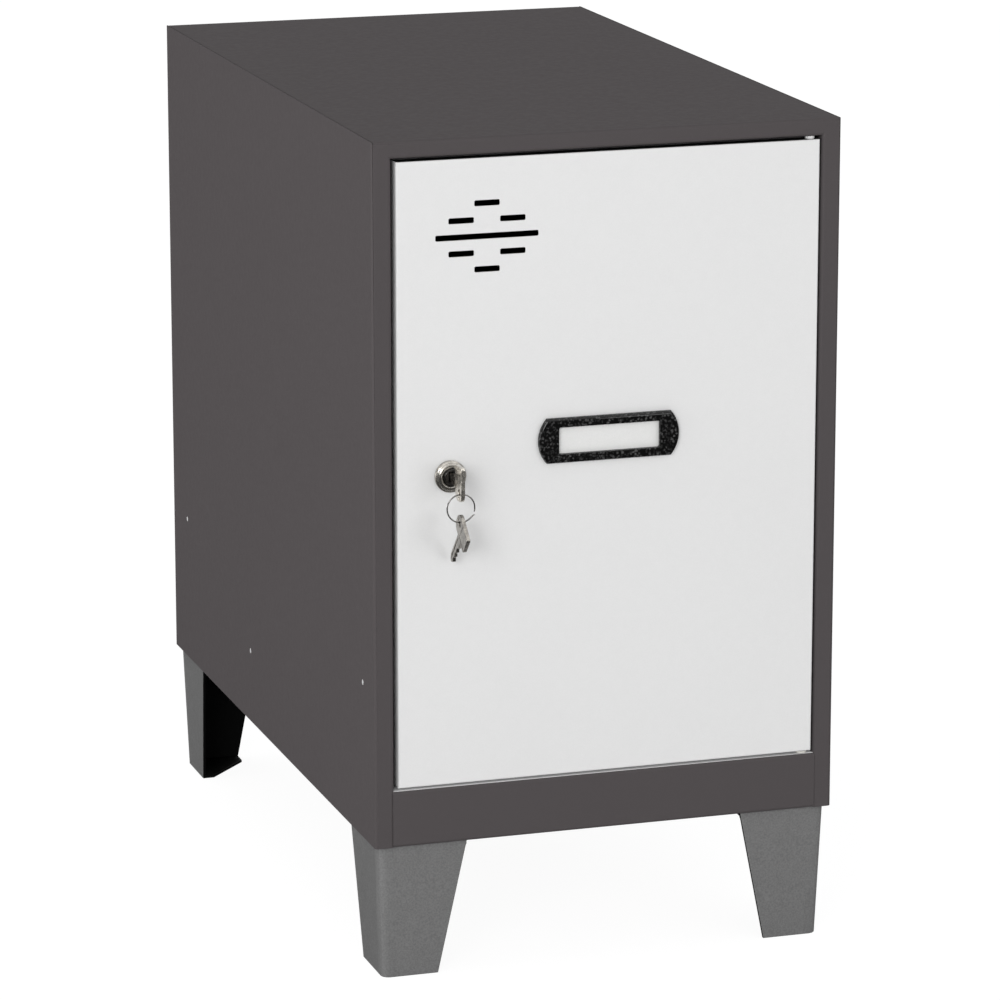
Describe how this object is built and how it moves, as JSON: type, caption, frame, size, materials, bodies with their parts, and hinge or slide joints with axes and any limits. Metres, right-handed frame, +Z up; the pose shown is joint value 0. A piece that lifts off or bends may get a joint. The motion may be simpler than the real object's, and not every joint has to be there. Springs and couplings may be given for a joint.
{
  "type": "cube locker",
  "caption": "Small dark grey steel locker on tapered folded legs, with a light grey hinged door, vent slots, label holder, cam lock and keys.",
  "frame": {"origin": "on the ground under the middle of the whole object, keys included", "axes": "+Z up, +Y from the door to the back, +X to the right as seen from the front"},
  "size_m": [0.3, 0.5378, 0.526],
  "materials": {
    "cabinet_paint": "dark grey powder coat, satin",
    "door_paint": "light grey powder coat, satin",
    "leg_paint": "mid grey textured powder coat",
    "black_plastic": "black, pebbled",
    "card": "plain card",
    "nickel": "nickel plated",
    "ring_steel": "bright wire",
    "zinc": "zinc plated",
    "rubber": "matte",
    "nylon": "natural nylon"
  },
  "bodies": {
    "cabinet": {"left_side_panel": "cabinet_paint", "right_side_panel": "cabinet_paint", "back_panel": "cabinet_paint", "top_panel": "cabinet_paint", "floor_panel": "cabinet_paint", "bottom_rail": "cabinet_paint", "strike_post": "cabinet_paint", "hinge_post": "cabinet_paint", "left_post_rivet": "zinc", "left_floor_rivet": "zinc", "left_back_rivet": "zinc", "right_post_rivet": "zinc", "right_floor_rivet": "zinc", "right_back_rivet": "zinc", "leg_front_left": "leg_paint", "leg_front_right": "leg_paint", "leg_rear_left": "leg_paint", "leg_rear_right": "leg_paint", "leg_bolt_front_left_inward": "zinc", "leg_bolt_front_left_along": "zinc", "leg_bolt_front_right_inward": "zinc", "leg_bolt_front_right_along": "zinc", "leg_bolt_rear_left_inward": "zinc", "leg_bolt_rear_left_along": "zinc", "leg_bolt_rear_right_inward": "zinc", "leg_bolt_rear_right_along": "zinc", "leg_nut_front_left_inward": "zinc", "leg_nut_front_left_along": "zinc", "leg_nut_front_right_inward": "zinc", "leg_nut_front_right_along": "zinc", "leg_nut_rear_left_inward": "zinc", "leg_nut_rear_left_along": "zinc", "leg_nut_rear_right_inward": "zinc", "leg_nut_rear_right_along": "zinc", "upper_door_buffer": "rubber", "lower_door_buffer": "rubber", "hinge_washer": "nylon"},
    "door": {"door_panel": "door_paint", "door_stiffener": "door_paint", "upper_hinge_bracket": "zinc", "lower_hinge_bracket": "zinc", "upper_hinge_pin": "zinc", "lower_hinge_pin": "zinc", "label_holder": "black_plastic", "label_card": "card", "lock_barrel": "nickel", "lock_nut": "zinc"},
    "lock_core": {"lock_plug": "nickel", "lock_cam": "zinc", "cam_washer": "zinc", "cam_screw": "zinc"},
    "key": {"lock_key": "nickel"},
    "ring": {"key_ring": "ring_steel"},
    "hanging_key": {"spare_key": "nickel"}
  },
  "joints": [
    {"name": "door_hinge", "type": "hinge", "parent": "cabinet", "child": "door", "pos_m": [0.1307, -0.2271, 0.3], "axis": [0, 0, 1], "range_deg": [0, 110]},
    {"name": "lock_turn", "type": "hinge", "parent": "door", "child": "lock_core", "pos_m": [-0.1015, -0.2311, 0.3189], "axis": [0, 1, 0], "range_deg": [0, 90]},
    {"name": "key_slide", "type": "slide", "parent": "lock_core", "child": "key", "axis": [0, -1, 0], "range_m": [0, 0.015]},
    {"name": "ring_swing", "type": "hinge", "parent": "key", "child": "ring", "pos_m": [-0.1015, -0.2536, 0.31265], "axis": [1, 0, 0], "range_deg": [-60, 2.5]},
    {"name": "hanging_key_swing", "type": "hinge", "parent": "ring", "child": "hanging_key", "pos_m": [-0.1015, -0.2536, 0.29525], "axis": [1, 0, 0], "range_deg": [-50, 4]}
  ]
}
